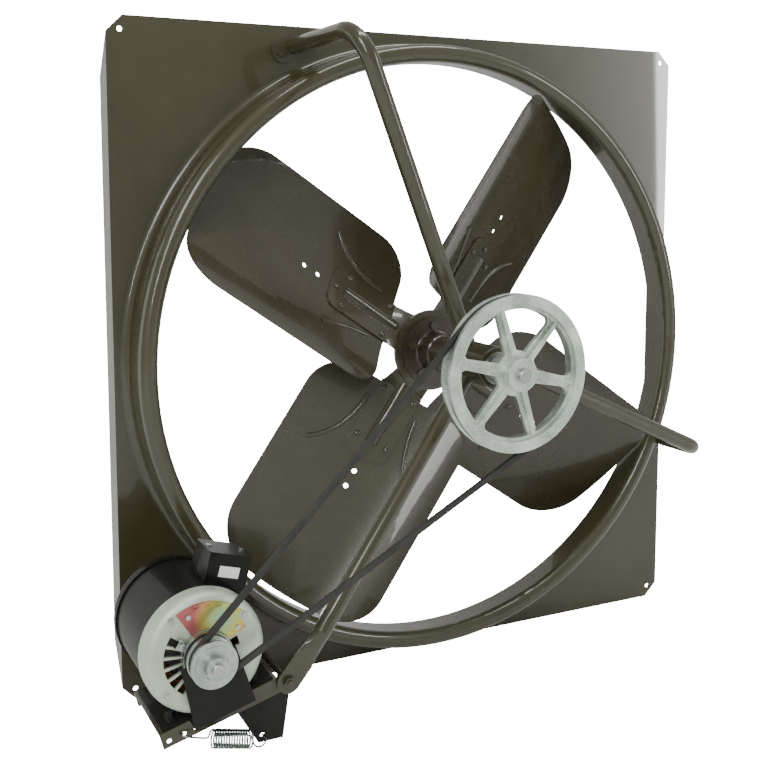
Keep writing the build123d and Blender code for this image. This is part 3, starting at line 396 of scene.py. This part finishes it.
def chromate():
    film = Finish("yellow_chromate", metallic=0.75)
    radius = radius_from(film, MOTOR_AXIS + COVER_OFFSET)
    swirl = film.place.noise(26.0, 4.0, 0.6)
    band = (radius + swirl * 0.012).clamp(0.010, 0.047)
    ramp = band.make("ShaderNodeValToRGB", {"Fac": band})
    stops = ramp.socket.node.color_ramp.elements
    tones = [(0.0, (0.24, 0.50, 0.36)), (0.35, (0.46, 0.54, 0.20)), (0.62, (0.62, 0.50, 0.12)),
             (0.84, (0.60, 0.24, 0.14)), (1.0, (0.42, 0.12, 0.12))]
    for index, (place, tone) in enumerate(tones):
        stop = stops[index] if index < 2 else stops.new(place)
        stop.position, stop.color = place, (*tone, 1.0)
    film.set(base_color=ramp, roughness=0.24 + swirl * 0.16)
    film.bump(film.place.noise(300.0, 3.0, 0.5), 0.0003, 0.2)
    return film.material


def rubber(name, tone, scale):
    skin = Finish(name)
    weave = skin.place.noise(scale, 5.0, 0.7)
    chalk = skin.place.noise(18.0, 5.0, 0.6)
    dark = (tone, tone, tone * 0.9)
    chalky = (tone * 2.2, tone * 2.2, tone * 1.9)
    skin.set(base_color=(chalk * 0.6 + weave * 0.4).clamp(0.35, 0.65).blend(dark, chalky))
    skin.set(roughness=0.62 + weave * 0.2)
    skin.bump(weave, 0.0006, 0.4)
    return skin.material


def paper():
    sheet = Finish("label_paper", roughness=0.55)
    fibre = sheet.place.noise(900.0, 4.0, 0.6)
    sheet.set(base_color=fibre.blend((0.78, 0.78, 0.74), (0.90, 0.90, 0.87)))
    sheet.bump(fibre, 0.0001, 0.3)
    return sheet.material


lamination_steel = laminations()
copper = winding()
yellow_chromate = chromate()
belt_rubber = rubber("belt_rubber", 0.014, 420.0)
mount_rubber = rubber("mount_rubber", 0.010, 300.0)
label_paper = paper()

# %% [markdown]
# ## Floor
# The floor is matt and near white. A glow that only the camera sees lifts it to plain white all over, so that the
# sweep doesn't wash out the dark enamel. The glow is so strong that the fan's shadow on the floor doesn't show.

# %% Floor finish
GLOW, GLOW_SHARE = 40.0, 0.5
floor_finish = Finish("studio_white", roughness=0.9, specular_ior_level=0.1)
pale = floor_finish.place.noise(0.6, 2.0)
floor_finish.set(base_color=pale.blend((0.88, 0.88, 0.875), (0.92, 0.92, 0.915)))
tint = pale.blend((0.985, 0.985, 0.98), (1.0, 1.0, 1.0))
glow = pale.make("ShaderNodeEmission", {"Color": tint, "Strength": GLOW})
seen = pale.make("ShaderNodeLightPath") * GLOW_SHARE
mixed = pale.make("ShaderNodeMixShader", {0: seen, 2: glow})
floor_tree = floor_finish.material.node_tree
floor_tree.links.new(floor_finish.shader.outputs[0], mixed.socket.node.inputs[1])
floor_tree.links.new(mixed.socket, floor_tree.nodes["Material Output"].inputs["Surface"])
studio.data.materials.append(floor_finish.material)
print("floor", floor_finish.material.name)

# %% [markdown]
# ## Finishes by slot
# The record names a material slot for every node. Each slot gets one of the finishes above.

# %% Finishes by slot
FINISHES = {
    "enamel": panel_enamel, "blade_enamel": blade_enamel, "painted_fastener": bolt_enamel,
    "hub_casting": hub_iron, "ground_steel": ground_steel, "sheave_casting": cast_aluminium,
    "pulley_casting": turned_aluminium, "zinc_fastener": zinc_plate, "belt_rubber": belt_rubber,
    "spring_steel": spring_wire, "black_bracket": bracket_black, "rubber_mount": mount_rubber,
    "zinc_clamp": zinc_plate, "motor_black": motor_black, "lamination": lamination_steel,
    "copper_winding": copper, "bell_casting": bell_aluminium, "bronze": bronze,
    "yellow_chromate": yellow_chromate, "box_black": box_black, "plug_black": mount_rubber,
    "label_white": label_paper,
}
for entry in frame["record"]["subparts"]:
    node = nodes[entry["node"]]
    finish = FINISHES[entry["material_slot"]]
    for slot in node.material_slots:
        slot.material = finish

# %% [markdown]
# ## Rivet heads
# Five rivets hold each blade to its pressed arm. CAD draws them as plain pins. The real heads are low round domes,
# and in glossy enamel each one catches a small bright point, so every head is remade as a flattened ball.

# %% Rivet heads
PITCH = radians(32.5)
BLADE_ANGLES = [radians(55.5 + 90.0 * index) for index in range(4)]
RIVET_SPOTS = [(0.090, -0.0335, -0.0114), (0.090, 0.0205, -0.0154), (0.176, -0.0335, -0.0114),
               (0.176, 0.0205, -0.0154), (0.196, -0.0065, -0.0135)]
HEAD_R, HEAD_HIGH = 0.005, 0.0029
FRONT_LIFT, BACK_LIFT = 0.0045, -0.0017
SPIDER_CENTRE = Vector((0.0, -0.027, 0.0))


def rivet_heads(shape):
    for angle in BLADE_ANGLES:
        outward = Vector((cos(angle), 0.0, sin(angle)))
        around = Vector((-sin(angle), 0.0, cos(angle)))
        chord = around * cos(PITCH) + Vector((0.0, -sin(PITCH), 0.0))
        normal = outward.cross(chord)
        turn = Matrix((outward, chord, normal)).transposed().to_4x4()
        flat = Matrix.Diagonal((HEAD_R, HEAD_R, HEAD_HIGH, 1.0))
        for out, across, height in RIVET_SPOTS:
            for lift in (FRONT_LIFT, BACK_LIFT):
                place = SPIDER_CENTRE + outward * out + chord * across + normal * (height + lift)
                bmesh.ops.create_uvsphere(shape, u_segments=20, v_segments=12, radius=1.0,
                                          matrix=Matrix.Translation(place) @ turn @ flat)


rivets = mesh_piece("rivet_heads", rivet_heads)
rivets.data.materials.append(bolt_enamel)
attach(rivets, "fan_rotor")
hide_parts("blade_rivets")
print("rivet heads", len(rivets.data.polygons), "faces")

# %% [markdown]
# ## Tension spring
# CAD keeps the spring as one tube. Here it is wound: a close helix, a long straight hook to the swing plate on its
# left and a round loop through the bracket on its right. A curve with a round bevel gives the wire.

# %% Tension spring
WIRE = 0.00135
TURNS = 15
COIL_OUTER_R = 0.013
END_IN, END_OFF = 0.0030, 0.0127
spring_low, spring_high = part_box("tension_spring")
spring_y = (spring_low.y + spring_high.y) / 2
spring_start = Vector((spring_low.x + END_IN, spring_y, spring_high.z - END_OFF))
spring_end = Vector((spring_high.x - END_IN, spring_y, spring_low.z + END_OFF))
along = (spring_end - spring_start).normalized()
side = Vector((0.0, 1.0, 0.0))
up = along.cross(side)
coil_r = COIL_OUTER_R - WIRE
path = []
steps = 24 * TURNS
for step in range(steps + 1):
    turn = tau * TURNS * step / steps
    centre = spring_start.lerp(spring_end, step / steps)
    path.append(centre + side * (coil_r * cos(turn)) + up * (coil_r * sin(turn)))
left_hook = [spring_start + Vector(step) for step in (
    (-0.0335, 0.0175, 0.0068), (-0.0385, 0.0125, 0.0085), (-0.0365, 0.0060, 0.0085), (-0.0190, 0.0010, 0.0050),
    (-0.0050, 0.0005, 0.0015))]
right_loop = [spring_end + Vector(step) for step in (
    (0.003, 0.004, 0.001), (0.004, -0.001, -0.011), (0.015, -0.002, -0.014), (0.023, 0.000, -0.006),
    (0.0215, 0.012, -0.004), (0.0230, 0.0190, -0.008))]


def wire_piece(name, points, radius, finish):
    """A round wire along a smooth line, made into a mesh."""
    curve = bpy.data.curves.new(name + "_line", "CURVE")
    curve.dimensions = "3D"
    curve.bevel_depth = radius
    curve.bevel_resolution = 3
    curve.use_fill_caps = True
    spline = curve.splines.new("NURBS")
    spline.points.add(len(points) - 1)
    for knot, point in zip(spline.points, points):
        knot.co = (*point, 1.0)
    spline.order_u = 3
    spline.use_endpoint_u = True
    line = link(name + "_line", curve)
    data = bpy.data.meshes.new_from_object(line.evaluated_get(bpy.context.evaluated_depsgraph_get()))
    data.name = name
    bpy.data.objects.remove(line)
    data.materials.clear()
    data.materials.append(finish)
    return link(name, data)


spring = wire_piece("wound_spring", left_hook + path + right_loop, WIRE, spring_wire)
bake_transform(spring)
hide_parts("tension_spring")
print("wound spring", len(spring.data.polygons), "faces")

# %% [markdown]
# ## V-belt
# The belt is one loop of rubber round both pulleys. When the motor swings on its hinge, the real belt follows the
# small pulley. Here the belt is a copy of the CAD loop, with its long runs cut into short lengths.

# %% V-belt
LONG_EDGE = 0.05


def belt_loop(shape):
    shape.from_mesh(nodes["v_belt"].data)
    bmesh.ops.remove_doubles(shape, verts=shape.verts, dist=0.000002)
    for _ in range(4):
        long_edges = [edge for edge in shape.edges if edge.calc_length() > LONG_EDGE]
        bmesh.ops.subdivide_edges(shape, edges=long_edges, cuts=1)
        bmesh.ops.triangulate(shape, faces=[face for face in shape.faces if len(face.verts) > 3])


belt = mesh_piece("drive_belt", belt_loop, smooth=False)
belt.data.materials.append(belt_rubber)
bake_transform(belt)
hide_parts("v_belt")
print("belt", len(belt.data.polygons), "faces")
